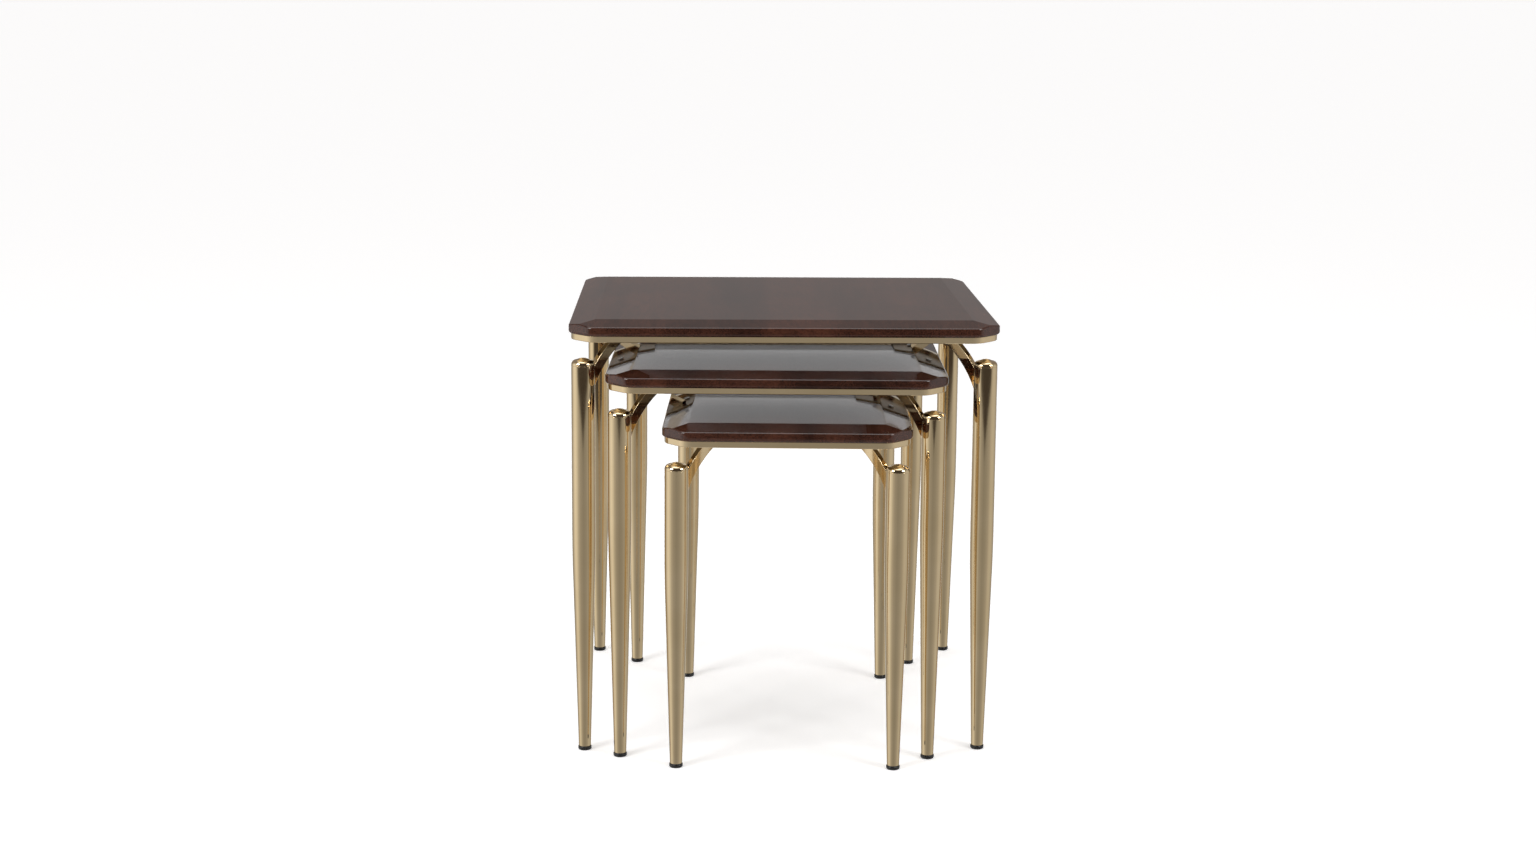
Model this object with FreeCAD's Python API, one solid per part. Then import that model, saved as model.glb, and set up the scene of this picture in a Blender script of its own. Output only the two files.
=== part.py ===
import FreeCAD, Part
import math
import os

# A set of three free-standing nesting tables.  Each has a bevelled wooden top on a metal rim,
# four tapered tube legs that stand free below its corners, and a curved bracket that carries
# the top from each leg.  Millimetres and degrees.  +Z is up and +X is to the right of a person
# who stands in front of the tables and looks along +Y.  The origin is on the floor, in the
# middle of the box round the whole set.

# Driving dimensions: outline and height of each table
LARGE_WIDTH = 595.0
MEDIUM_WIDTH = 470.0
SMALL_WIDTH = 340.0
LARGE_DEPTH = 510.0
DEPTH_STEP = 32.0
LARGE_HEIGHT = 610.0
HEIGHT_STEP = 65.0

# Where the two smaller tables stand, measured from the large one
MEDIUM_ASIDE = -6.2
MEDIUM_FORWARD = 50.0
MEDIUM_TURN = -1.5
SMALL_ASIDE = 8.5
SMALL_FORWARD = 110.0
SMALL_TURN = -2.0

# Wooden top
BEVEL_WIDTH = 37.0
BEVEL_DROP = 6.0
EDGE_HEIGHT = 13.0
CORNER_CLIP = 30.0
CORNER_SOFTENING = 18.0
EDGE_ROUNDING = 2.0
BOTTOM_ROUNDING = 4.0

# Metal rim under the top
RIM_SETBACK = 3.0
RIM_HEIGHT = 8.5
RIM_WIDTH = 12.0
RIM_CORNER_RADIUS = 25.0
RIM_EDGE_ROUNDING = 1.2

# Legs, with the height at which each table's legs stop tapering
LEG_INSET = 20.5
LEG_RADIUS = 16.2
LEG_END_RADIUS = 8.6
LEG_WALL = 1.5
LEG_BLEND_RADIUS = 2600.0
LEG_TOP_BELOW_TOP = 61.0
LARGE_TAPER = 285.0
MEDIUM_TAPER = 320.0
SMALL_TAPER = 270.0

# Leg caps
CAP_DOME = 9.0
CAP_EDGE_RADIUS = 6.5
CAP_LIP = 1.0
CAP_PLUG_DEPTH = 10.0
CAP_PLUG_WALL = 2.0

# Feet
FOOT_RADIUS = 9.4
FOOT_HEIGHT = 6.0
FOOT_ROUNDING = 2.0
FOOT_STEM_LENGTH = 16.0
FOOT_STEM_PLAY = 0.2

# Curved brackets, drawn in the upright plane through a leg's axis and the table's middle
BRACKET_WIDTH = 8.0
BRACKET_THICKNESS = 16.0
BRACKET_INNER_RADIUS = 131.0
BRACKET_START_ANGLE = 23.0
BRACKET_END_ANGLE = 68.0
BRACKET_SUNK_ANGLE = 4.0
BRACKET_FOOT_DROP = 37.5
BRACKET_EDGE_ROUNDING = 1.2

# Corner plates and the screws that hold the top down on them
PLATE_THICKNESS = 3.0
PLATE_REACH = 98.0
PLATE_SIDE = 110.0
SCREW_ALONG = 60.0
SCREW_ASIDE = 30.0
SCREW_RADIUS = 2.4
SCREW_IN_WOOD = 11.0
SCREW_HEAD_RADIUS = 4.6
SCREW_HEAD_HEIGHT = 2.8
SCREW_HEAD_ROUNDING = 1.0
SCREW_SOCKET_RADIUS = 1.6
SCREW_SOCKET_DEPTH = 1.6
SCREW_SOCKET_SIDES = 6
PLATE_HOLE_RADIUS = 2.75
PILOT_HOLE_RADIUS = 2.5
PILOT_HOLE_EXTRA = 1.0

ALONG = FreeCAD.Vector(1, 0, 0)
ACROSS = FreeCAD.Vector(0, 1, 0)
UP = FreeCAD.Vector(0, 0, 1)
FULL_TURN = 360.0
# Moving an outline inwards shortens its 45-degree corner cuts by this share of the move.
MITRE_SHRINK = 2.0 - math.sqrt(2.0)
SMALL_GAP = 0.01
CORNERS = {
    "front_left": (-1, -1),
    "front_right": (1, -1),
    "back_right": (1, 1),
    "back_left": (-1, 1),
}


class Table:
    """One table of the set: its size and where it stands beside the large one."""

    def __init__(self, name, number, width, aside, forward, turn, taper_height):
        self.name = name
        self.width = width
        self.depth = LARGE_DEPTH - number * DEPTH_STEP
        self.height = LARGE_HEIGHT - number * HEIGHT_STEP
        self.aside = aside
        self.forward = forward
        self.turn = turn
        self.taper_height = taper_height
        self.edge_top = self.height - BEVEL_DROP
        self.wood_bottom = self.edge_top - EDGE_HEIGHT
        self.rim_bottom = self.wood_bottom - RIM_HEIGHT
        self.leg_top = self.height - LEG_TOP_BELOW_TOP
        self.leg_x = self.width / 2 - LEG_INSET
        self.leg_y = self.depth / 2 - LEG_INSET

    def front_reach(self):
        """How far the turned top reaches towards the front from its own middle."""
        turn = math.radians(abs(self.turn))
        square_part = self.width / 2 - CORNER_CLIP
        return self.depth / 2 * math.cos(turn) + square_part * math.sin(turn)

    def stand(self, shape):
        """Move a shape from the table's own frame to where the table stands in the set."""
        placed = shape.copy()
        placed.rotate(FreeCAD.Vector(0, 0, 0), UP, self.turn)
        placed.translate(FreeCAD.Vector(self.aside, SET_SHIFT - self.forward, 0))
        return placed

    def to_corner(self, shape, corner):
        """Move a shape drawn round a leg's axis, reaching inwards along +X, to one corner."""
        side_x, side_y = CORNERS[corner]
        inward = math.degrees(math.atan2(-side_y, -side_x))
        placed = shape.copy()
        placed.rotate(FreeCAD.Vector(0, 0, 0), UP, inward)
        placed.translate(FreeCAD.Vector(side_x * self.leg_x, side_y * self.leg_y, 0))
        return placed


TABLES = [
    Table("large", 0, LARGE_WIDTH, 0.0, 0.0, 0.0, LARGE_TAPER),
    Table("medium", 1, MEDIUM_WIDTH, MEDIUM_ASIDE, MEDIUM_FORWARD, MEDIUM_TURN, MEDIUM_TAPER),
    Table("small", 2, SMALL_WIDTH, SMALL_ASIDE, SMALL_FORWARD, SMALL_TURN, SMALL_TAPER),
]
SET_FRONT = max(table.forward + table.front_reach() for table in TABLES)
SET_SHIFT = (SET_FRONT - LARGE_DEPTH / 2) / 2


def outline(table, inset, z, corner_radius):
    """Closed wire of the table's clipped rectangle, pulled in by inset, with softened corners."""
    half_x = table.width / 2 - inset
    half_y = table.depth / 2 - inset
    clip = CORNER_CLIP - inset * MITRE_SHRINK
    corners = []
    for side_x, side_y in CORNERS.values():
        corners.append(FreeCAD.Vector(side_x * half_x, side_y * (half_y - clip), z))
        corners.append(FreeCAD.Vector(side_x * (half_x - clip), side_y * half_y, z))
    corners.sort(key=lambda corner: math.atan2(corner.y, corner.x))
    return softened(corners, corner_radius)


def corner_arc(previous, point, following, radius):
    """Start, middle and end of the arc that rounds the corner at point."""
    before = (previous - point).normalize()
    after = (following - point).normalize()
    half_angle = before.getAngle(after) / 2
    start = point + before * (radius / math.tan(half_angle))
    end = point + after * (radius / math.tan(half_angle))
    to_centre = (before + after).normalize()
    middle = point + to_centre * (radius / math.sin(half_angle) - radius)
    return start, middle, end


def line(start, end):
    return Part.LineSegment(start, end).toShape()


def softened(points, radius):
    """Closed wire through the points, with an arc of the given radius at each of them."""
    count = len(points)
    arcs = [corner_arc(points[index - 1], points[index], points[(index + 1) % count], radius)
            for index in range(count)]
    edges = []
    for index, arc in enumerate(arcs):
        edges.append(Part.Arc(*arc).toShape())
        edges.append(line(arc[-1], arcs[(index + 1) % count][0]))
    return Part.Wire(edges)


def rectangle(table, inset, z):
    """Closed wire of the table's rectangle before its corners are cut, pulled in by inset."""
    corners = []
    for side_x, side_y in CORNERS.values():
        corners.append(FreeCAD.Vector(side_x * (table.width / 2 - inset),
                                      side_y * (table.depth / 2 - inset), z))
    return Part.makePolygon(corners + corners[:1])


def prism(wire, height):
    return Part.Face(wire).extrude(UP * height)


def edges_between(shape, low, high):
    """Edges of a shape that lie wholly between two heights."""
    found = []
    for edge in shape.Edges:
        box = edge.BoundBox
        if box.ZMin > low - SMALL_GAP and box.ZMax < high + SMALL_GAP:
            found.append(edge)
    return found


def edges_at(shape, z):
    """Edges of a shape that lie flat at one height."""
    return edges_between(shape, z, z)


def screw_places():
    """The two screws of a corner, from the leg's axis, with +X reaching inwards."""
    return [(SCREW_ALONG, -SCREW_ASIDE), (SCREW_ALONG, SCREW_ASIDE)]


def corner_holes(table, corner, radius, z, depth):
    """Upright cylinders at the two screw places of one corner."""
    holes = []
    for along, aside in screw_places():
        cylinder = Part.makeCylinder(radius, depth, FreeCAD.Vector(along, aside, z), UP)
        holes.append(table.to_corner(cylinder, corner))
    return holes


def top_panel(table):
    """Wooden board with four mitred bevels, corners cut square to the floor, and screw holes."""
    edge = prism(rectangle(table, 0, table.wood_bottom), EDGE_HEIGHT)
    bevel = Part.makeLoft([rectangle(table, 0, table.edge_top),
                           rectangle(table, BEVEL_WIDTH, table.height)], True, True)
    board = edge.fuse(bevel).removeSplitter()
    cutter = prism(outline(table, 0, table.wood_bottom, CORNER_SOFTENING),
                   BEVEL_DROP + EDGE_HEIGHT)
    board = board.common(cutter)
    # Each cut corner's upper edge climbs from both ends to the mitre between two bevels.
    peak = table.edge_top + BEVEL_DROP * CORNER_CLIP / 2 / BEVEL_WIDTH
    board = board.makeFillet(EDGE_ROUNDING, edges_between(board, table.edge_top, peak))
    board = board.makeFillet(BOTTOM_ROUNDING, edges_at(board, table.wood_bottom))
    depth = SCREW_IN_WOOD + PILOT_HOLE_EXTRA
    for corner in CORNERS:
        for hole in corner_holes(table, corner, PILOT_HOLE_RADIUS, table.wood_bottom, depth):
            board = board.cut(hole)
    return board


def rim(table):
    """Flat metal hoop that the top rests on, with rounded corners."""
    inner_inset = RIM_SETBACK + RIM_WIDTH
    inner_radius = RIM_CORNER_RADIUS - RIM_WIDTH
    outer = prism(outline(table, RIM_SETBACK, table.rim_bottom, RIM_CORNER_RADIUS), RIM_HEIGHT)
    outer = outer.makeFillet(RIM_EDGE_ROUNDING, edges_at(outer, table.rim_bottom))
    inner = prism(outline(table, inner_inset, table.rim_bottom, inner_radius), RIM_HEIGHT)
    return outer.cut(inner)


def corner_plate(table, corner):
    """Steel plate in a corner of the rim, under the wood, with two clearance holes."""
    inner_inset = RIM_SETBACK + RIM_WIDTH
    inner_radius = RIM_CORNER_RADIUS - RIM_WIDTH
    z = table.wood_bottom - PLATE_THICKNESS
    sheet = prism(outline(table, inner_inset, z, inner_radius), PLATE_THICKNESS)
    # A square box that reaches PLATE_REACH inwards keeps the corner and drops the rest.
    reach = Part.makeBox(4 * PLATE_REACH, 4 * PLATE_REACH, PLATE_THICKNESS)
    reach.translate(FreeCAD.Vector(-3 * PLATE_REACH, -2 * PLATE_REACH, z))
    plate = sheet.common(table.to_corner(reach, corner))
    side_x, side_y = CORNERS[corner]
    square = Part.makeBox(PLATE_SIDE, PLATE_SIDE, PLATE_THICKNESS)
    square.translate(FreeCAD.Vector(-PLATE_SIDE / 2, -PLATE_SIDE / 2, z))
    square.translate(FreeCAD.Vector(side_x * (table.width - PLATE_SIDE) / 2,
                                    side_y * (table.depth - PLATE_SIDE) / 2, 0))
    plate = plate.common(square)
    for hole in corner_holes(table, corner, PLATE_HOLE_RADIUS, z, PLATE_THICKNESS):
        plate = plate.cut(hole)
    return plate


def screw(z):
    """Round-headed machine screw, head down, whose head meets the plate at height z."""
    head_bottom = z - SCREW_HEAD_HEIGHT
    head = Part.makeCylinder(SCREW_HEAD_RADIUS, SCREW_HEAD_HEIGHT,
                             FreeCAD.Vector(0, 0, head_bottom), UP)
    head = head.makeFillet(SCREW_HEAD_ROUNDING, edges_at(head, head_bottom))
    shank = Part.makeCylinder(SCREW_RADIUS, PLATE_THICKNESS + SCREW_IN_WOOD,
                              FreeCAD.Vector(0, 0, z), UP)
    turns = [2 * math.pi * side / SCREW_SOCKET_SIDES for side in range(SCREW_SOCKET_SIDES + 1)]
    socket_line = Part.makePolygon([FreeCAD.Vector(SCREW_SOCKET_RADIUS * math.cos(turn),
                                                   SCREW_SOCKET_RADIUS * math.sin(turn),
                                                   head_bottom) for turn in turns])
    socket = prism(socket_line, SCREW_SOCKET_DEPTH)
    return head.fuse(shank).removeSplitter().cut(socket)


def top_screws(table):
    """The eight screws that hold one wooden top, as separate solids."""
    one = screw(table.wood_bottom - PLATE_THICKNESS)
    screws = []
    for corner in CORNERS:
        for along, aside in screw_places():
            moved = one.copy()
            moved.translate(FreeCAD.Vector(along, aside, 0))
            screws.append(table.to_corner(moved, corner))
    return Part.makeCompound(screws)


def revolved(edges):
    """Solid of revolution round Z from the closed outline of its half section."""
    face = Part.Face(Part.Wire(edges))
    return face.revolve(FreeCAD.Vector(0, 0, 0), UP, FULL_TURN)


def half_section(points):
    """Points (radius, height) as vectors in the XZ plane."""
    return [FreeCAD.Vector(radius, 0, z) for radius, z in points]


def leg_line(table, inside):
    """A leg's outer line, moved in by inside: a cone, a long blend and a straight stretch."""
    end, shoulder, top = half_section([(LEG_END_RADIUS - inside, FOOT_HEIGHT),
                                       (LEG_RADIUS - inside, table.taper_height),
                                       (LEG_RADIUS - inside, table.leg_top)])
    start, middle, finish = corner_arc(end, shoulder, top, LEG_BLEND_RADIUS)
    edges = [line(end, start), Part.Arc(start, middle, finish).toShape(), line(finish, top)]
    return edges, end, top


def leg(table):
    """Tapered round tube, open at both ends."""
    outside, outside_end, outside_top = leg_line(table, 0)
    inside, inside_end, inside_top = leg_line(table, LEG_WALL)
    top_edge = line(outside_top, inside_top)
    end_edge = line(inside_end, outside_end)
    return revolved(outside + [top_edge] + inside[::-1] + [end_edge])


def leg_cap(table):
    """Cap with a short lip on the tube's end, a rounded dome, and a hollow plug inside it."""
    base = table.leg_top
    lip_top = base + CAP_LIP
    plug_radius = LEG_RADIUS - LEG_WALL
    plug_end = base - CAP_PLUG_DEPTH
    bore_radius = plug_radius - CAP_PLUG_WALL
    # The dome is a quarter-round edge and, above it, part of a sphere centred on the axis.
    shoulder_radius = LEG_RADIUS - CAP_EDGE_RADIUS
    shoulder_z = lip_top + CAP_EDGE_RADIUS
    sphere_rise = CAP_DOME - CAP_EDGE_RADIUS
    sphere_radius = (shoulder_radius ** 2 + sphere_rise ** 2) / (2 * sphere_rise)
    sphere_z = shoulder_z + sphere_rise - sphere_radius
    half_radius = shoulder_radius / 2
    diagonal = CAP_EDGE_RADIUS * math.sqrt(0.5)
    lip, edge_middle, shoulder, dome_middle, crown = half_section([
        (LEG_RADIUS, lip_top),
        (shoulder_radius + diagonal, lip_top + diagonal),
        (shoulder_radius, shoulder_z),
        (half_radius, sphere_z + math.sqrt(sphere_radius ** 2 - half_radius ** 2)),
        (0, shoulder_z + sphere_rise)])
    under = half_section([(0, base), (bore_radius, base), (bore_radius, plug_end),
                          (plug_radius, plug_end), (plug_radius, base), (LEG_RADIUS, base)])
    edges = [Part.Arc(lip, edge_middle, shoulder).toShape(),
             Part.Arc(shoulder, dome_middle, crown).toShape(), line(crown, under[0])]
    edges += [line(start, end) for start, end in zip(under, under[1:])]
    return revolved(edges + [line(under[-1], lip)])


def foot():
    """Round-edged plastic glide with a stem that pushes into the tube."""
    disc = Part.makeCylinder(FOOT_RADIUS, FOOT_HEIGHT)
    rims = edges_at(disc, 0) + edges_at(disc, FOOT_HEIGHT)
    disc = disc.makeFillet(FOOT_ROUNDING, rims)
    stem_radius = LEG_END_RADIUS - LEG_WALL - FOOT_STEM_PLAY
    stem = Part.makeCylinder(stem_radius, FOOT_STEM_LENGTH,
                             FreeCAD.Vector(0, 0, FOOT_HEIGHT), UP)
    return disc.fuse(stem).removeSplitter()


def bracket(table):
    """Curved bar that leaves the leg's inner side and arches up under the corner plate."""
    start_angle = math.radians(BRACKET_START_ANGLE)
    centre = FreeCAD.Vector(
        LEG_RADIUS + BRACKET_INNER_RADIUS * math.cos(start_angle), 0,
        table.leg_top - BRACKET_FOOT_DROP - BRACKET_INNER_RADIUS * math.sin(start_angle))
    inner = centre - ALONG * BRACKET_INNER_RADIUS
    outer = inner - ALONG * BRACKET_THICKNESS
    aside = ACROSS * (BRACKET_WIDTH / 2)
    corners = [inner - aside, outer - aside, outer + aside, inner + aside]
    section = Part.Face(softened(corners, BRACKET_EDGE_ROUNDING))
    first_angle = BRACKET_START_ANGLE - BRACKET_SUNK_ANGLE
    section.rotate(centre, ACROSS, first_angle)
    bar = section.revolve(centre, ACROSS, BRACKET_END_ANGLE - first_angle)
    # The cutter for the tube starts well below the place where the bar leaves it.
    tube_start = table.leg_top - 2 * BRACKET_FOOT_DROP
    tube = Part.makeCylinder(LEG_RADIUS, table.height - tube_start,
                             FreeCAD.Vector(0, 0, tube_start), UP)
    above = Part.makeBox(2 * PLATE_REACH, 2 * BRACKET_WIDTH, 2 * BRACKET_THICKNESS)
    above.translate(FreeCAD.Vector(0, -BRACKET_WIDTH, table.wood_bottom - PLATE_THICKNESS))
    return bar.cut(tube).cut(above)


def save(table, piece, shape):
    node = table.name + "_" + piece
    table.stand(shape).exportStep("parts/" + node + ".step")


def build(table):
    """Write every piece of one table."""
    save(table, "top_panel", top_panel(table))
    save(table, "rim", rim(table))
    save(table, "corner_plates",
         Part.makeCompound([corner_plate(table, corner) for corner in CORNERS]))
    save(table, "top_screws", top_screws(table))
    leg_shape = leg(table)
    cap_shape = leg_cap(table)
    bracket_shape = bracket(table)
    foot_shape = foot()
    for corner in CORNERS:
        save(table, "leg_" + corner, table.to_corner(leg_shape, corner))
        save(table, "leg_cap_" + corner, table.to_corner(cap_shape, corner))
        save(table, "bracket_" + corner, table.to_corner(bracket_shape, corner))
        save(table, "foot_" + corner, table.to_corner(foot_shape, corner))


os.makedirs("parts", exist_ok=True)
for each_table in TABLES:
    build(each_table)
print("middle of the large table is at y =", round(SET_SHIFT, 3))
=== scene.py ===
import math

import bmesh
import bpy
from mathutils import Matrix, Vector


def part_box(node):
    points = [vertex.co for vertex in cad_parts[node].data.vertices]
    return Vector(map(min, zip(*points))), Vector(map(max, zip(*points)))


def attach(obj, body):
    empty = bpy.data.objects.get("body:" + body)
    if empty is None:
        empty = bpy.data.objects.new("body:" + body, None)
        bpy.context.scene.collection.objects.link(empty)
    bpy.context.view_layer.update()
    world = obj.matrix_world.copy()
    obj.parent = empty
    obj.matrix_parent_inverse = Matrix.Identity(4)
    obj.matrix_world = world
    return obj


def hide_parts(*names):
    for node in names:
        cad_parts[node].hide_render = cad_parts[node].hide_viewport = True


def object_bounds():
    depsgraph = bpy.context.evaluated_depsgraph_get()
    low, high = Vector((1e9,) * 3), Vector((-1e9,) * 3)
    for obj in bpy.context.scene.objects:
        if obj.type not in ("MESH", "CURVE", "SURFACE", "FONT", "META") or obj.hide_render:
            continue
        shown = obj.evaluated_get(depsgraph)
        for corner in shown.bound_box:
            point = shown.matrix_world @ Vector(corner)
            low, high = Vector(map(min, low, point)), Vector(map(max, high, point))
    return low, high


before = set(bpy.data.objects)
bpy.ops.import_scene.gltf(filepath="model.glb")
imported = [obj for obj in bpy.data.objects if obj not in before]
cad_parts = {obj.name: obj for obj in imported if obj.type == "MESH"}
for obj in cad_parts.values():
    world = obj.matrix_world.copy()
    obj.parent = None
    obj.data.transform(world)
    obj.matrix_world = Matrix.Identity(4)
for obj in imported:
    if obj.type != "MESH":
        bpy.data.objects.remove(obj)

cad_low, cad_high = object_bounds()

# Sizes in metres, as in the CAD model
BEVEL_WIDTH = 0.037
BEVEL_DROP = 0.006
EDGE_HEIGHT = 0.013
CORNER_CLIP = 0.030
CORNER_SOFTENING = 0.018
EDGE_ROUNDING = 0.0022
BOTTOM_ROUNDING = 0.004
RIDGE_WIDTH = 0.0008
RIM_SETBACK = 0.003
RIM_HEIGHT = 0.0085
RIM_WIDTH = 0.012
RIM_CORNER_RADIUS = 0.025
RIM_EDGE_ROUNDING = 0.0012
RIM_LEAN = 0.0003
LEG_INSET = 0.0205
LEG_RADIUS = 0.0162
LEG_END_RADIUS = 0.0086
LEG_WALL = 0.0015
LEG_BLEND_RADIUS = 2.6
LEG_TOP_BELOW_TOP = 0.061
CAP_LIP = 0.001
CAP_DOME = 0.009
CAP_EDGE_RADIUS = 0.0065
# The arc of the cap's edge stops just short of the crown's first point
CAP_EDGE_SHARE = 0.999
CAP_PLUG_DEPTH = 0.010
CAP_PLUG_WALL = 0.002
SEAM = 0.0002
FOOT_RADIUS = 0.0094
FOOT_HEIGHT = 0.006
FOOT_ROUNDING = 0.002
FOOT_STEM_LENGTH = 0.016
FOOT_STEM_RADIUS = 0.0069
FOOT_STEM_ROUNDING = 0.001
BRACKET_WIDTH = 0.008
BRACKET_THICKNESS = 0.016
BRACKET_INNER_RADIUS = 0.131
BRACKET_START_ANGLE = math.radians(23)
BRACKET_END_ANGLE = math.radians(68)
BRACKET_FOOT_DROP = 0.0375
BRACKET_EDGE_ROUNDING = 0.0012
BRACKET_SINK = 0.0002
PLATE_THICKNESS = 0.003
# The visual top stays this far inside the CAD top's outline
HAIR = 0.00002

# Fineness and smoothing of the meshes
ARC_STEP = math.radians(6)
PLAN_ARC_STEP = math.radians(5)
LEG_BLEND_STEP = math.radians(0.15)
ROUND_SEGMENTS = 96
BRACKET_STEPS = 40
EDGE_STEPS = 5
CROWN_STEPS = 10
RIDGE_SEGMENTS = 2
RIDGE_PROFILE = 0.5
MERGE_DISTANCE = 1e-6
SHARP_ANGLE = math.radians(35)
FLAT_FACE_WEIGHT = 100

TAPER_HEIGHTS = {"large": 0.285, "medium": 0.320, "small": 0.270}
CORNERS = {
    "front_left": (-1, -1),
    "front_right": (1, -1),
    "back_right": (1, 1),
    "back_left": (-1, 1),
}
# How much a corner's cut gets shorter for each metre of inset
MITRE_SHRINK = 2 - math.sqrt(2)


class Table:
    """One table, measured from its CAD nodes, with its own frame on the floor."""

    def __init__(self, name):
        self.name = name
        self.body = name + "_table"
        self.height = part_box(name + "_top_panel")[1].z
        self.taper_height = TAPER_HEIGHTS[name]
        feet = {corner: self.axis_of(corner) for corner in CORNERS}
        across = feet["front_right"] - feet["front_left"]
        along = feet["back_left"] - feet["front_left"]
        self.middle = sum(feet.values(), Vector((0, 0, 0))) / len(feet)
        self.turn = math.atan2(across.y, across.x)
        self.leg_x = across.length / 2
        self.leg_y = along.length / 2
        self.half_width = self.leg_x + LEG_INSET - HAIR
        self.half_depth = self.leg_y + LEG_INSET - HAIR
        self.edge_top = self.height - BEVEL_DROP
        self.wood_bottom = self.edge_top - EDGE_HEIGHT
        self.rim_bottom = self.wood_bottom - RIM_HEIGHT
        self.leg_top = self.height - LEG_TOP_BELOW_TOP

    def axis_of(self, corner):
        """The point on the floor under a leg."""
        low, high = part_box(self.name + "_foot_" + corner)
        middle = (low + high) / 2
        middle.z = 0
        return middle

    def placement(self):
        """Takes the table's own frame to where the table stands."""
        return Matrix.Translation(self.middle) @ Matrix.Rotation(self.turn, 4, "Z")

    def at_corner(self, corner):
        """Takes a shape round a leg's axis, reaching inwards along +X, to that corner."""
        side_x, side_y = CORNERS[corner]
        inward = math.atan2(-side_y, -side_x)
        place = Vector((side_x * self.leg_x, side_y * self.leg_y, 0))
        return self.placement() @ Matrix.Translation(place) @ Matrix.Rotation(inward, 4, "Z")


# ---------------------------------------------------------------- lines and meshes

def rounded(points, radii, step=ARC_STEP, closed=False):
    """2-D points with an arc in place of each corner that has a radius."""
    count = len(points)
    made = []
    for index, (point, radius) in enumerate(zip(points, radii)):
        at_end = not closed and index in (0, count - 1)
        here = Vector(point)
        if radius == 0 or at_end:
            made.append(here)
            continue
        before = (Vector(points[index - 1]) - here).normalized()
        after = (Vector(points[(index + 1) % count]) - here).normalized()
        half_angle = before.angle(after) / 2
        turn = math.pi - 2 * half_angle
        centre = here + (before + after).normalized() * (radius / math.sin(half_angle))
        start = here + before * (radius / math.tan(half_angle)) - centre
        sense = math.copysign(1, before.x * after.y - before.y * after.x)
        steps = max(2, round(turn / step))
        for number in range(steps + 1):
            spoke = start.copy()
            spoke.rotate(Matrix.Rotation(-sense * turn * number / steps, 2))
            made.append(centre + spoke)
    return made


def clipped_outline(table, inset, radius):
    """The table's clipped rectangle in plan, pulled in by inset, as 2-D points."""
    half_x = table.half_width - inset
    half_y = table.half_depth - inset
    clip = CORNER_CLIP - inset * MITRE_SHRINK
    points = []
    for side_x, side_y in CORNERS.values():
        upright = (side_x * half_x, side_y * (half_y - clip))
        middle = (side_x * (half_x - clip / 2), side_y * (half_y - clip / 2))
        level = (side_x * (half_x - clip), side_y * half_y)
        points += [upright, middle, level] if side_x == side_y else [level, middle, upright]
    return rounded(points, [radius, 0, radius] * len(CORNERS), PLAN_ARC_STEP, closed=True)


def join_rings(mesh, pairs):
    """Faces between the two rings of each pair."""
    for low, high in pairs:
        for index in range(len(low)):
            following = (index + 1) % len(low)
            mesh.faces.new((low[index], low[following], high[following], high[index]))


def loft(name, rings, closed=False, capped=False):
    """Mesh object through rings of equal length. closed joins the last ring to the first."""
    mesh = bmesh.new()
    rows = [[mesh.verts.new(point) for point in ring] for ring in rings]
    pairs = list(zip(rows, rows[1:]))
    if closed:
        pairs.append((rows[-1], rows[0]))
    join_rings(mesh, pairs)
    if capped:
        mesh.faces.new(rows[0][::-1])
        mesh.faces.new(rows[-1])
    bmesh.ops.remove_doubles(mesh, verts=mesh.verts, dist=MERGE_DISTANCE)
    return new_piece(name, mesh)


def new_piece(name, mesh):
    """Turn a finished bmesh into an object in the scene."""
    bmesh.ops.recalc_face_normals(mesh, faces=mesh.faces)
    data = bpy.data.meshes.new(name)
    mesh.to_mesh(data)
    mesh.free()
    piece = bpy.data.objects.new(name, data)
    bpy.context.scene.collection.objects.link(piece)
    return piece


def revolve(name, profile, closed=False):
    """Mesh object from a half section of (radius, height) points turned round Z."""
    rings = []
    for radius, height in profile:
        ring = []
        for number in range(ROUND_SEGMENTS):
            angle = 2 * math.pi * number / ROUND_SEGMENTS
            ring.append((radius * math.cos(angle), radius * math.sin(angle), height))
        rings.append(ring)
    return loft(name, rings, closed=closed)


def finish_piece(piece, table, matrix, materials, nodes):
    """Place a piece, smooth it, give it its materials and let it stand for its CAD nodes."""
    piece.data.transform(matrix)
    for face in piece.data.polygons:
        face.use_smooth = True
    piece.data.set_sharp_from_angle(angle=SHARP_ANGLE)
    weighted = piece.modifiers.new("flat_faces_stay_flat", "WEIGHTED_NORMAL")
    weighted.keep_sharp = True
    weighted.weight = FLAT_FACE_WEIGHT
    for material in materials:
        piece.data.materials.append(material)
    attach(piece, table.body)
    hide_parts(*nodes)


# ---------------------------------------------------------------- materials

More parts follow.
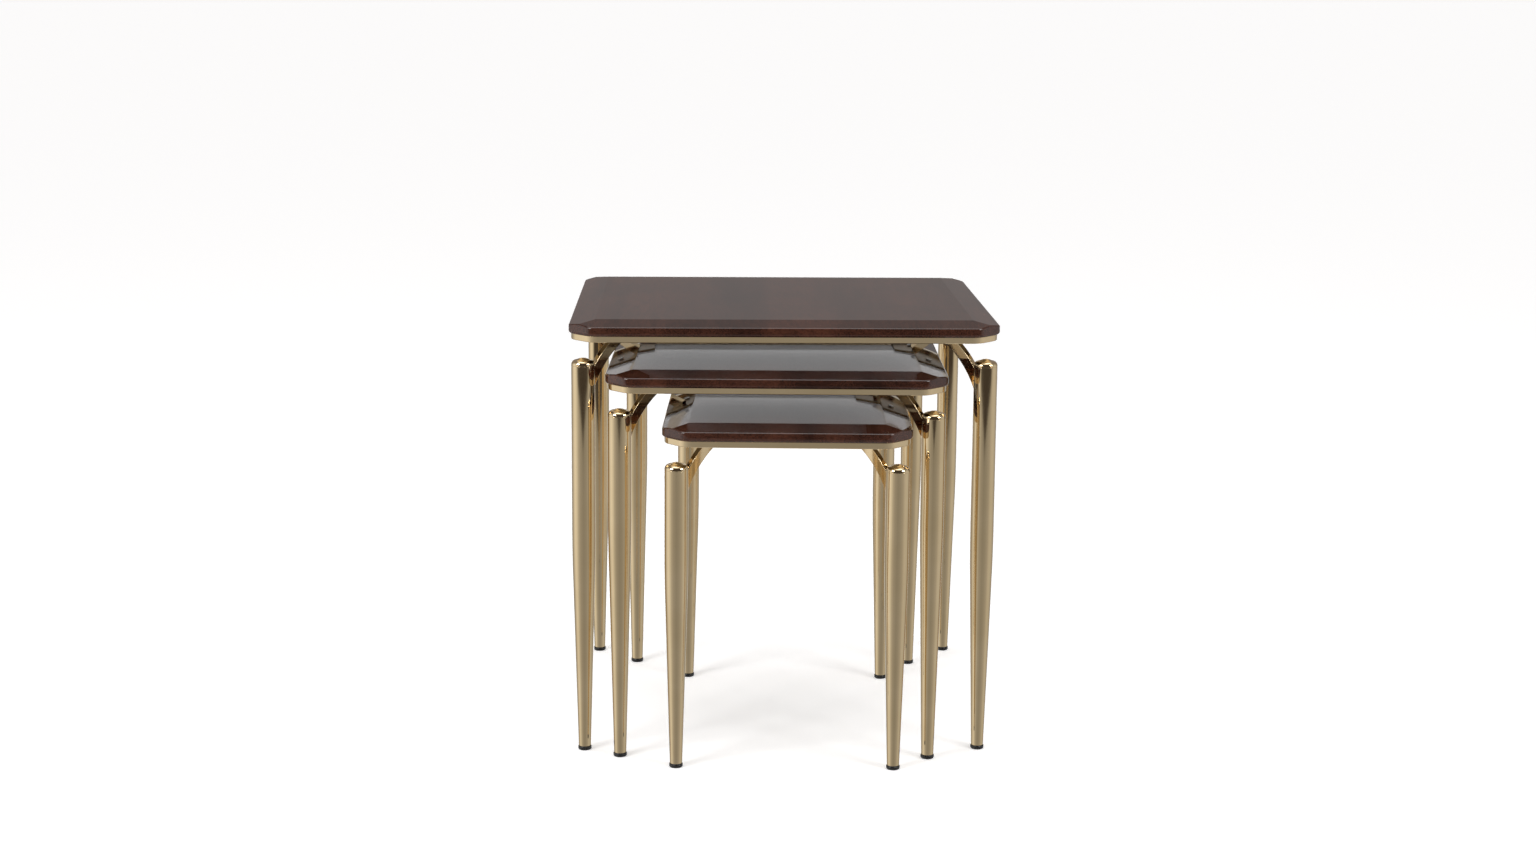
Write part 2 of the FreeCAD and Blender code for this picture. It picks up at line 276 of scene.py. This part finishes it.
class Nodes:
    """A small helper that adds and joins shader nodes."""

    def __init__(self, tree):
        self.tree = tree
        tree.nodes.clear()

    def add(self, kind, **settings):
        """New node of a kind, with its settings."""
        node = self.tree.nodes.new(kind)
        for key, value in settings.items():
            setattr(node, key, value)
        return node

    def join(self, output, socket):
        """Link an output to an input socket."""
        self.tree.links.new(output, socket)

    def texture_space(self, scale=(1.0, 1.0, 1.0)):
        """Object coordinates, scaled by axis, so that the pattern rides on the piece."""
        place = self.add("ShaderNodeTexCoord")
        mapping = self.add("ShaderNodeMapping")
        mapping.inputs["Scale"].default_value = scale
        self.join(place.outputs["Object"], mapping.inputs["Vector"])
        return mapping.outputs["Vector"]

    def noise(self, vector, scale, detail=4.0, roughness=0.5, distortion=0.0):
        """Value of a noise texture at each point of a texture space."""
        node = self.add("ShaderNodeTexNoise")
        node.inputs["Scale"].default_value = scale
        node.inputs["Detail"].default_value = detail
        node.inputs["Roughness"].default_value = roughness
        node.inputs["Distortion"].default_value = distortion
        self.join(vector, node.inputs["Vector"])
        return node.outputs["Fac"]

    def ramp(self, value, stops):
        """Colour for a value, from stops of (position, colour)."""
        node = self.add("ShaderNodeValToRGB")
        elements = node.color_ramp.elements
        while len(elements) < len(stops):
            elements.new(0.5)
        for element, (position, colour) in zip(elements, stops):
            element.position = position
            element.color = (*colour, 1)
        self.join(value, node.inputs["Fac"])
        return node.outputs["Color"]

    def spread(self, value, low, high, from_low=0.3, from_high=0.7):
        """Map a texture's middle range to a small range of a shader value."""
        node = self.add("ShaderNodeMapRange")
        node.inputs["From Min"].default_value = from_low
        node.inputs["From Max"].default_value = from_high
        node.inputs["To Min"].default_value = low
        node.inputs["To Max"].default_value = high
        self.join(value, node.inputs["Value"])
        return node.outputs["Result"]

    def fade_in(self, value, limits):
        """0 below the first limit, 1 above the second."""
        return self.spread(value, 0.0, 1.0, *limits)

    def fade_out(self, value, limits):
        """1 below the first limit, 0 above the second."""
        return self.spread(value, 1.0, 0.0, *limits)

    def put(self, value, socket):
        """Join an output to a socket, or set the socket to a fixed value."""
        if isinstance(value, bpy.types.NodeSocket):
            self.join(value, socket)
        else:
            socket.default_value = value

    def blend_colours(self, factor, first, second, mode="MIX"):
        """Mix or otherwise combine two colours."""
        node = self.add("ShaderNodeMix", data_type="RGBA", blend_type=mode)
        factor_in = [socket for socket in node.inputs if socket.name == "Factor"][0]
        first_in = [socket for socket in node.inputs if socket.identifier == "A_Color"][0]
        second_in = [socket for socket in node.inputs if socket.identifier == "B_Color"][0]
        self.put(factor, factor_in)
        self.put(first, first_in)
        self.put(second, second_in)
        return [out for out in node.outputs if out.identifier == "Result_Color"][0]

    def math(self, operation, *values):
        """Result of a sum on values, each an output or a number."""
        node = self.add("ShaderNodeMath", operation=operation)
        for value, socket in zip(values, node.inputs):
            self.put(value, socket)
        return node.outputs["Value"]

    def bump(self, height, strength, distance):
        """Normals that make a texture look raised."""
        node = self.add("ShaderNodeBump")
        node.inputs["Strength"].default_value = strength
        node.inputs["Distance"].default_value = distance
        self.join(height, node.inputs["Height"])
        return node.outputs["Normal"]

    def shader(self, **values):
        """Principled shader with fixed values, wired to the output."""
        node = self.add("ShaderNodeBsdfPrincipled")
        for key, value in values.items():
            node.inputs[key.replace("_", " ")].default_value = value
        out = self.add("ShaderNodeOutputMaterial")
        self.join(node.outputs["BSDF"], out.inputs["Surface"])
        return node

    def dress(self, shader, colour, roughness, normal):
        """Give a shader its textured colour, roughness and normals."""
        self.join(colour, shader.inputs["Base Color"])
        self.join(roughness, shader.inputs["Roughness"])
        self.join(normal, shader.inputs["Normal"])


def new_material(name):
    """Empty material and the helper that fills it."""
    material = bpy.data.materials.new(name)
    material.use_nodes = True
    return material, Nodes(material.node_tree)


def lacquered_wood():
    """Dark red-brown veneer with its grain from front to back, under a mirror-gloss lacquer."""
    material, nodes = new_material("lacquered_wood")
    grain_space = nodes.texture_space((1.0, 0.06, 1.0))
    plain_space = nodes.texture_space()
    figure = nodes.noise(grain_space, scale=14.0, detail=6.0, roughness=0.6, distortion=0.6)
    pores = nodes.noise(grain_space, scale=420.0, detail=3.0, roughness=0.6)
    clouds = nodes.noise(plain_space, scale=7.0, detail=3.0, roughness=0.55)
    wood = nodes.ramp(figure, [
        (0.30, (0.020, 0.0075, 0.0048)),
        (0.48, (0.044, 0.0165, 0.0100)),
        (0.60, (0.064, 0.0240, 0.0145)),
        (0.74, (0.038, 0.0140, 0.0085)),
    ])
    fine = nodes.ramp(pores, [(0.38, (0.62, 0.60, 0.60)), (0.55, (1.0, 1.0, 1.0))])
    patches = nodes.ramp(clouds, [(0.35, (0.80, 0.78, 0.80)), (0.65, (1.15, 1.05, 1.0))])
    colour = nodes.blend_colours(1.0, wood, fine, "MULTIPLY")
    colour = nodes.blend_colours(1.0, colour, patches, "MULTIPLY")
    shader = nodes.shader(Coat_Weight=1.0, Coat_Roughness=0.025, Coat_IOR=1.55,
                          Specular_IOR_Level=0.0)
    nodes.dress(shader, colour, nodes.spread(figure, low=0.38, high=0.52),
                nodes.bump(pores, strength=0.03, distance=0.0001))
    return material


def backing_board():
    """Pale sealed board on the underside of each top."""
    material, nodes = new_material("backing_board")
    flecks = nodes.noise(nodes.texture_space(), scale=260.0, detail=4.0, roughness=0.7)
    colour = nodes.ramp(flecks, [(0.35, (0.66, 0.66, 0.67)), (0.65, (0.78, 0.78, 0.79))])
    shader = nodes.shader(Coat_Weight=1.0, Coat_Roughness=0.06)
    nodes.dress(shader, colour, nodes.spread(flecks, low=0.42, high=0.55),
                nodes.bump(flecks, strength=0.05, distance=0.0002))
    return material


def polished_gold():
    """Mirror-polished champagne-gold plating, with faint polishing marks and hazing."""
    material, nodes = new_material("polished_gold")
    space = nodes.texture_space()
    marks_space = nodes.texture_space((1.0, 1.0, 0.04))
    haze = nodes.noise(space, scale=16.0, detail=3.0)
    marks = nodes.noise(marks_space, scale=900.0, detail=2.0)
    colour = nodes.ramp(haze, [(0.35, (0.765, 0.595, 0.355)), (0.65, (0.815, 0.64, 0.395))])
    shader = nodes.shader(Metallic=1.0)
    nodes.dress(shader, colour, nodes.spread(haze, low=0.035, high=0.075),
                nodes.bump(marks, strength=0.03, distance=0.0001))
    return material


def shaded_dull_gold():
    """The same plating left unpolished and rough, in a darkened colour that is painted shade
    for plates hidden in the shade under the tops.
    """
    material, nodes = new_material("shaded_dull_gold")
    mottling = nodes.noise(nodes.texture_space(), scale=60.0, detail=4.0, roughness=0.6)
    # Darkened gold colours: painted shade for the shade under the tops
    colour = nodes.ramp(mottling, [(0.35, (0.20, 0.15, 0.085)), (0.65, (0.27, 0.205, 0.12))])
    shader = nodes.shader(Metallic=1.0)
    nodes.dress(shader, colour, nodes.spread(mottling, low=0.30, high=0.42),
                nodes.bump(mottling, strength=0.05, distance=0.0002))
    return material


def zinc_steel():
    """Bright zinc-plated steel of the screws."""
    material, nodes = new_material("zinc_steel")
    spots = nodes.noise(nodes.texture_space(), scale=600.0, detail=3.0)
    colour = nodes.ramp(spots, [(0.35, (0.52, 0.52, 0.50)), (0.65, (0.68, 0.68, 0.65))])
    shader = nodes.shader(Metallic=1.0)
    nodes.dress(shader, colour, nodes.spread(spots, low=0.22, high=0.38),
                nodes.bump(spots, strength=0.10, distance=0.0001))
    return material


def black_plastic():
    """Smooth black moulded plastic of the feet, a little scuffed."""
    material, nodes = new_material("black_plastic")
    scuffs = nodes.noise(nodes.texture_space(), scale=350.0, detail=4.0, roughness=0.7)
    colour = nodes.ramp(scuffs, [(0.40, (0.008, 0.008, 0.008)), (0.70, (0.022, 0.021, 0.020))])
    shader = nodes.shader()
    nodes.dress(shader, colour, nodes.spread(scuffs, low=0.18, high=0.36),
                nodes.bump(scuffs, strength=0.08, distance=0.0001))
    return material


WOOD = lacquered_wood()
BACKING = backing_board()
GOLD = polished_gold()
# Gold darkened with painted shade, for the corner plates under the tops
SHADED_DULL_GOLD = shaded_dull_gold()
ZINC = zinc_steel()
PLASTIC = black_plastic()


# ---------------------------------------------------------------- pieces

def bevel_height(table, x, y):
    """Height of the bevelled upper side above a point in plan."""
    inward = min(table.half_width - abs(x), table.half_depth - abs(y))
    return table.edge_top + BEVEL_DROP * min(inward / BEVEL_WIDTH, 1)


def top_rings(table):
    """Rings of the board's edge: rounded underside, upright side and rounded upper edge."""
    rings = []
    lower = rounded([(2 * BOTTOM_ROUNDING, table.wood_bottom), (0, table.wood_bottom),
                     (0, table.edge_top)], [0, BOTTOM_ROUNDING, 0])
    for inset, height in lower[1:-1]:
        outline = clipped_outline(table, inset, CORNER_SOFTENING)
        rings.append([(x, y, height) for x, y in outline])
    for step in range(EDGE_STEPS + 1):
        angle = math.pi / 2 * step / EDGE_STEPS
        inset = EDGE_ROUNDING * (1 - math.cos(angle))
        below = EDGE_ROUNDING * (1 - math.sin(angle))
        outline = clipped_outline(table, inset, CORNER_SOFTENING)
        rings.append([(x, y, bevel_height(table, x, y) - below) for x, y in outline])
    return rings


def make_top(table):
    """Board whose four bevels meet in mitres that run from the flat to each cut corner."""
    mesh = bmesh.new()
    rows = [[mesh.verts.new(point) for point in ring] for ring in top_rings(table)]
    count = len(rows[0])
    join_rings(mesh, zip(rows, rows[1:]))
    underside = mesh.faces.new(rows[0][::-1])
    underside.material_index = 1
    edge = rows[-1]
    flat = []
    starts = []
    for side_x, side_y in CORNERS.values():
        corner = mesh.verts.new((side_x * (table.half_width - BEVEL_WIDTH),
                                 side_y * (table.half_depth - BEVEL_WIDTH), table.height))
        flat.append(corner)
        nearest = min(edge, key=lambda vert: (vert.co - corner.co).length)
        starts.append(edge.index(nearest))
    creases = set(mesh.faces.new(flat).edges)
    for number, start in enumerate(starts):
        following = (number + 1) % len(starts)
        stretch = (starts[following] - start) % count
        side = [edge[(start + step) % count] for step in range(stretch + 1)]
        facet = mesh.faces.new(side + [flat[following], flat[number]])
        creases |= {line for line in facet.edges if flat[number] in line.verts}
    bmesh.ops.bevel(mesh, geom=list(creases), offset=RIDGE_WIDTH, segments=RIDGE_SEGMENTS,
                    profile=RIDGE_PROFILE, affect="EDGES")
    piece = new_piece(table.name + "_top", mesh)
    finish_piece(piece, table, table.placement(), [WOOD, BACKING],
                 [table.name + "_top_panel"])


def make_rim(table):
    """Hoop: its section, whose outer side leans in a little, carried round the outline."""
    outer = RIM_SETBACK
    inner = RIM_SETBACK + RIM_WIDTH
    section = rounded(
        [(outer, table.wood_bottom), (outer + RIM_LEAN, table.rim_bottom),
         (inner, table.rim_bottom), (inner, table.wood_bottom)],
        [SEAM, RIM_EDGE_ROUNDING, SEAM, SEAM], closed=True)
    rings = []
    for inset, height in section:
        radius = RIM_CORNER_RADIUS - (inset - RIM_SETBACK)
        rings.append([(x, y, height) for x, y in clipped_outline(table, inset, radius)])
    piece = loft(table.name + "_band", rings, closed=True)
    finish_piece(piece, table, table.placement(), [GOLD],
                 [table.name + "_rim"])


def make_leg(table, corner):
    """Tapered tube with a long blend between its cone and its straight stretch."""
    inner_end = LEG_END_RADIUS - LEG_WALL
    inner_radius = LEG_RADIUS - LEG_WALL
    outline = rounded(
        [(LEG_END_RADIUS, FOOT_HEIGHT), (LEG_RADIUS, table.taper_height),
         (LEG_RADIUS, table.leg_top), (inner_radius, table.leg_top),
         (inner_radius, table.taper_height), (inner_end, FOOT_HEIGHT)],
        [SEAM, LEG_BLEND_RADIUS, SEAM, 0, 0, 0], LEG_BLEND_STEP, closed=True)
    piece = revolve(f"{table.name}_leg_tube_{corner}", outline, closed=True)
    finish_piece(piece, table, table.at_corner(corner), [GOLD],
                 [f"{table.name}_leg_{corner}"])


def make_cap(table, corner):
    """Domed cap: plug, lip, rounded edge and a shallow crown."""
    base = table.leg_top
    shoulder = base + CAP_LIP + CAP_EDGE_RADIUS
    crown_rise = CAP_DOME - CAP_EDGE_RADIUS
    shoulder_radius = LEG_RADIUS - CAP_EDGE_RADIUS
    plug_radius = LEG_RADIUS - LEG_WALL
    bore_radius = plug_radius - CAP_PLUG_WALL
    plug_end = base - CAP_PLUG_DEPTH
    lower = rounded(
        [(0, base), (bore_radius, base), (bore_radius, plug_end), (plug_radius, plug_end),
         (plug_radius, base), (LEG_RADIUS, base), (LEG_RADIUS, shoulder),
         (shoulder_radius, shoulder)],
        [0, 0, 0, 0, 0, SEAM, CAP_EDGE_RADIUS * CAP_EDGE_SHARE, 0])
    crown = []
    for number in range(1, CROWN_STEPS + 1):
        outward = 1 - number / CROWN_STEPS
        crown.append((shoulder_radius * outward, shoulder + crown_rise * (1 - outward ** 2)))
    piece = revolve(f"{table.name}_cap_{corner}", lower[:-1] + crown)
    finish_piece(piece, table, table.at_corner(corner), [GOLD],
                 [f"{table.name}_leg_cap_{corner}"])


def make_foot(table, corner):
    """Glide with rounded edges, a waist under the tube and a stem inside it."""
    stem_top = FOOT_HEIGHT + FOOT_STEM_LENGTH
    profile = rounded(
        [(0, 0), (FOOT_RADIUS, 0), (FOOT_RADIUS, FOOT_HEIGHT), (FOOT_STEM_RADIUS, FOOT_HEIGHT),
         (FOOT_STEM_RADIUS, stem_top), (0, stem_top)],
        [0, FOOT_ROUNDING, FOOT_ROUNDING, 0, FOOT_STEM_ROUNDING, 0])
    piece = revolve(f"{table.name}_glide_{corner}", profile)
    finish_piece(piece, table, table.at_corner(corner), [PLASTIC],
                 [f"{table.name}_foot_{corner}"])


def make_bracket(table, corner):
    """Curved bar: each line along it starts on the tube and ends under the corner plate."""
    centre_x = LEG_RADIUS + BRACKET_INNER_RADIUS * math.cos(BRACKET_START_ANGLE)
    centre_z = (table.leg_top - BRACKET_FOOT_DROP
                - BRACKET_INNER_RADIUS * math.sin(BRACKET_START_ANGLE))
    head_z = table.wood_bottom - PLATE_THICKNESS
    half_width = BRACKET_WIDTH / 2
    outer_radius = BRACKET_INNER_RADIUS + BRACKET_THICKNESS
    # Lines inside this radius end at the bar's cut end, those outside it under the plate.
    knee = (head_z - centre_z) / math.sin(BRACKET_END_ANGLE)
    section = rounded(
        [(BRACKET_INNER_RADIUS, -half_width), (knee, -half_width), (outer_radius, -half_width),
         (outer_radius, half_width), (knee, half_width), (BRACKET_INNER_RADIUS, half_width)],
        [BRACKET_EDGE_ROUNDING, 0, BRACKET_EDGE_ROUNDING] * 2, closed=True)
    rings = []
    for step in range(BRACKET_STEPS + 1):
        share = step / BRACKET_STEPS
        ring = []
        for radius, aside in section:
            tube_x = math.sqrt(LEG_RADIUS ** 2 - aside ** 2) - BRACKET_SINK
            start = math.acos(min(1.0, (centre_x - tube_x) / radius))
            end = min(BRACKET_END_ANGLE, math.asin((head_z - centre_z) / radius))
            angle = start + (end - start) * share
            ring.append((centre_x - radius * math.cos(angle), aside,
                         centre_z + radius * math.sin(angle)))
        rings.append(ring)
    piece = loft(f"{table.name}_horn_{corner}", rings, capped=True)
    finish_piece(piece, table, table.at_corner(corner), [GOLD],
                 [f"{table.name}_bracket_{corner}"])


def dress_cad_nodes(table):
    """Corner plates and screws keep their CAD shape and take a finished material; the plates'
    gold is darkened with painted shade.
    """
    for node, material in ((table.name + "_corner_plates", SHADED_DULL_GOLD),
                           (table.name + "_top_screws", ZINC)):
        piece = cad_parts[node]
        piece.data.materials.clear()
        piece.data.materials.append(material)


def make_table(table):
    """All the pieces of one table."""
    make_top(table)
    make_rim(table)
    for corner in CORNERS:
        make_leg(table, corner)
        make_cap(table, corner)
        make_bracket(table, corner)
        make_foot(table, corner)
    dress_cad_nodes(table)


for table_name in ("large", "medium", "small"):
    make_table(Table(table_name))


# ---------------------------------------------------------------- stage, light and camera

FLOOR_HALF = 400.0
FLOOR_TINT = (0.90, 0.90, 0.90)
FLOOR_GLOW = 0.36
FLOOR_ROUGHNESS = 0.9
SPECKLE_SCALE = 30.0
SPECKLE_LIGHTER = 1.01


def make_floor():
    """Plain pale floor, lit a little from below. Mirror surfaces see the room instead of it."""
    mesh = bmesh.new()
    bmesh.ops.create_grid(mesh, x_segments=1, y_segments=1, size=FLOOR_HALF)
    data = bpy.data.meshes.new("floor")
    mesh.to_mesh(data)
    mesh.free()
    floor = bpy.data.objects.new("floor", data)
    bpy.context.scene.collection.objects.link(floor)
    material, nodes = new_material("floor")
    shader = nodes.shader(Roughness=FLOOR_ROUGHNESS, Specular_IOR_Level=0.0,
                          Emission_Strength=FLOOR_GLOW, Emission_Color=(1, 1, 1, 1))
    speckle = nodes.noise(nodes.texture_space(), SPECKLE_SCALE)
    lighter = tuple(SPECKLE_LIGHTER * channel for channel in FLOOR_TINT)
    tint = nodes.ramp(speckle, [(0.3, FLOOR_TINT), (0.7, lighter)])
    nodes.join(tint, shader.inputs["Base Color"])
    data.materials.append(material)
    floor.visible_glossy = False


# What the room looks like from the tables, as (position across, brightness) pairs.
# Position 0 is due left, 0.5 straight ahead or straight behind, 1 due right.
TOWARDS_FRONT = [
    (0.00, 0.95), (0.04, 0.80), (0.13, 0.52), (0.26, 0.38), (0.50, 0.31),
    (0.70, 0.34), (0.88, 0.42), (0.96, 0.55), (1.00, 0.60),
]
TOWARDS_BACK = [
    (0.00, 0.95), (0.05, 0.60), (0.13, 0.37), (0.30, 0.34), (0.42, 1.00),
    (0.58, 1.00), (0.70, 0.34), (0.88, 0.38), (1.00, 0.60),
]
FRONT_ABOVE_FLOOR = (0.060, 0.052, 0.048, 1)
BACK_WALL = (0.260, 0.238, 0.232, 1)
OVERHEAD = (2.4, 2.4, 2.4, 1)
# Parts of a unit direction between which one thing in the room fades into the next
LEFT_TO_RIGHT = (-1.0, 1.0)
FRONT_TO_BACK = (-0.03, 0.03)
OVERHEAD_FADE = (0.80, 0.97)
STUDIO_SIDE_FADE = (0.70, 0.93)
WALL_SIDE_FADE = (0.75, 0.98)
WALL_FOOT_FADE = (-0.04, 0.0)
EDGE_FADE = (0.0, 0.006)
# Where the lit floor ends in front: lowest in the middle and rising to the sides
EDGE_LOWEST = -0.211
EDGE_RISE = 0.035


def greys(pairs):
    """Colour stops from (position, brightness) pairs."""
    return [(position, (value, value, value)) for position, value in pairs]


def make_room():
    """Soft studio: bright at the sides and overhead, dark behind the camera, grey behind."""
    world = bpy.data.worlds.new("room")
    bpy.context.scene.world = world
    world.use_nodes = True
    nodes = Nodes(world.node_tree)
    direction = nodes.add("ShaderNodeTexCoord").outputs["Generated"]
    axes = nodes.add("ShaderNodeSeparateXYZ")
    nodes.join(direction, axes.inputs["Vector"])
    x, y, z = axes.outputs["X"], axes.outputs["Y"], axes.outputs["Z"]
    across = nodes.fade_in(x, LEFT_TO_RIGHT)
    front_low = nodes.ramp(across, greys(TOWARDS_FRONT))
    back_low = nodes.ramp(across, greys(TOWARDS_BACK))
    # In front, the lit floor ends in a dark studio just under eye level.
    sideways = nodes.math("ABSOLUTE", x)
    edge = nodes.math("MULTIPLY_ADD", sideways, EDGE_RISE, EDGE_LOWEST)
    above_edge = nodes.fade_in(nodes.math("SUBTRACT", z, edge), EDGE_FADE)
    central = nodes.fade_out(sideways, STUDIO_SIDE_FADE)
    dark_part = nodes.math("MULTIPLY", above_edge, central)
    front = nodes.blend_colours(dark_part, front_low, FRONT_ABOVE_FLOOR)
    wall_part = nodes.math("MULTIPLY", nodes.fade_in(z, WALL_FOOT_FADE),
                           nodes.fade_out(sideways, WALL_SIDE_FADE))
    back = nodes.blend_colours(wall_part, back_low, BACK_WALL)
    around = nodes.blend_colours(nodes.fade_in(y, FRONT_TO_BACK), front, back)
    high = nodes.fade_in(z, OVERHEAD_FADE)
    light = nodes.blend_colours(high, around, OVERHEAD)
    background = nodes.add("ShaderNodeBackground")
    nodes.join(light, background.inputs["Color"])
    out = nodes.add("ShaderNodeOutputWorld")
    nodes.join(background.outputs["Background"], out.inputs["Surface"])


SOFTBOX_SIDE = 1.2
SOFTBOX_ASIDE = 2.2
SOFTBOX_FORWARD = 1.8
SOFTBOX_HEIGHT = 1.9
LEFT_POWER = 45.0
RIGHT_POWER = 35.0


def make_softbox(name, side, aim, power):
    """Square area light to one side in front, aimed at a point. The camera doesn't see it."""
    data = bpy.data.lights.new(name, "AREA")
    data.shape = "RECTANGLE"
    data.size = SOFTBOX_SIDE
    data.size_y = SOFTBOX_SIDE
    data.energy = power
    light = bpy.data.objects.new(name, data)
    bpy.context.scene.collection.objects.link(light)
    place = Vector((side * SOFTBOX_ASIDE, -SOFTBOX_FORWARD, SOFTBOX_HEIGHT))
    light.location = place
    light.rotation_mode = "QUATERNION"
    light.rotation_quaternion = (aim - place).to_track_quat("-Z", "Y")
    light.visible_camera = False


CAMERA_PLACE = (-0.1153, -3.2371, 1.0842)
CAMERA_YAW = math.radians(1.7245)
CAMERA_PITCH = math.radians(9.1084)
CAMERA_ROLL = math.radians(0.4626)
SENSOR_WIDTH = 36.0
FOCAL_LENGTH = 52.73
LENS_SHIFT = -0.065
VIEW_DISTANCE = 1000.0


def make_camera():
    """Standing a little left of the middle, looking slightly down, with a long lens."""
    data = bpy.data.cameras.new("camera")
    data.sensor_width = SENSOR_WIDTH
    data.lens = FOCAL_LENGTH
    data.shift_y = LENS_SHIFT
    data.clip_end = VIEW_DISTANCE
    data.dof.use_dof = False
    camera = bpy.data.objects.new("camera", data)
    bpy.context.scene.collection.objects.link(camera)
    level_aim = Vector((math.sin(CAMERA_YAW), math.cos(CAMERA_YAW), 0))
    aim = level_aim * math.cos(CAMERA_PITCH) - Vector((0, 0, math.sin(CAMERA_PITCH)))
    level = Vector((math.cos(CAMERA_YAW), -math.sin(CAMERA_YAW), 0))
    upright = level.cross(aim)
    right = level * math.cos(CAMERA_ROLL) + upright * math.sin(CAMERA_ROLL)
    up = upright * math.cos(CAMERA_ROLL) - level * math.sin(CAMERA_ROLL)
    axes = Matrix((right, up, -aim)).transposed().to_4x4()
    camera.matrix_world = Matrix.Translation(CAMERA_PLACE) @ axes
    bpy.context.scene.camera = camera


make_floor()
make_room()
middle = (cad_low + cad_high) / 2
make_softbox("left_softbox", -1, middle, LEFT_POWER)
make_softbox("right_softbox", 1, middle, RIGHT_POWER)
make_camera()
bpy.context.scene.view_settings.view_transform = "Standard"
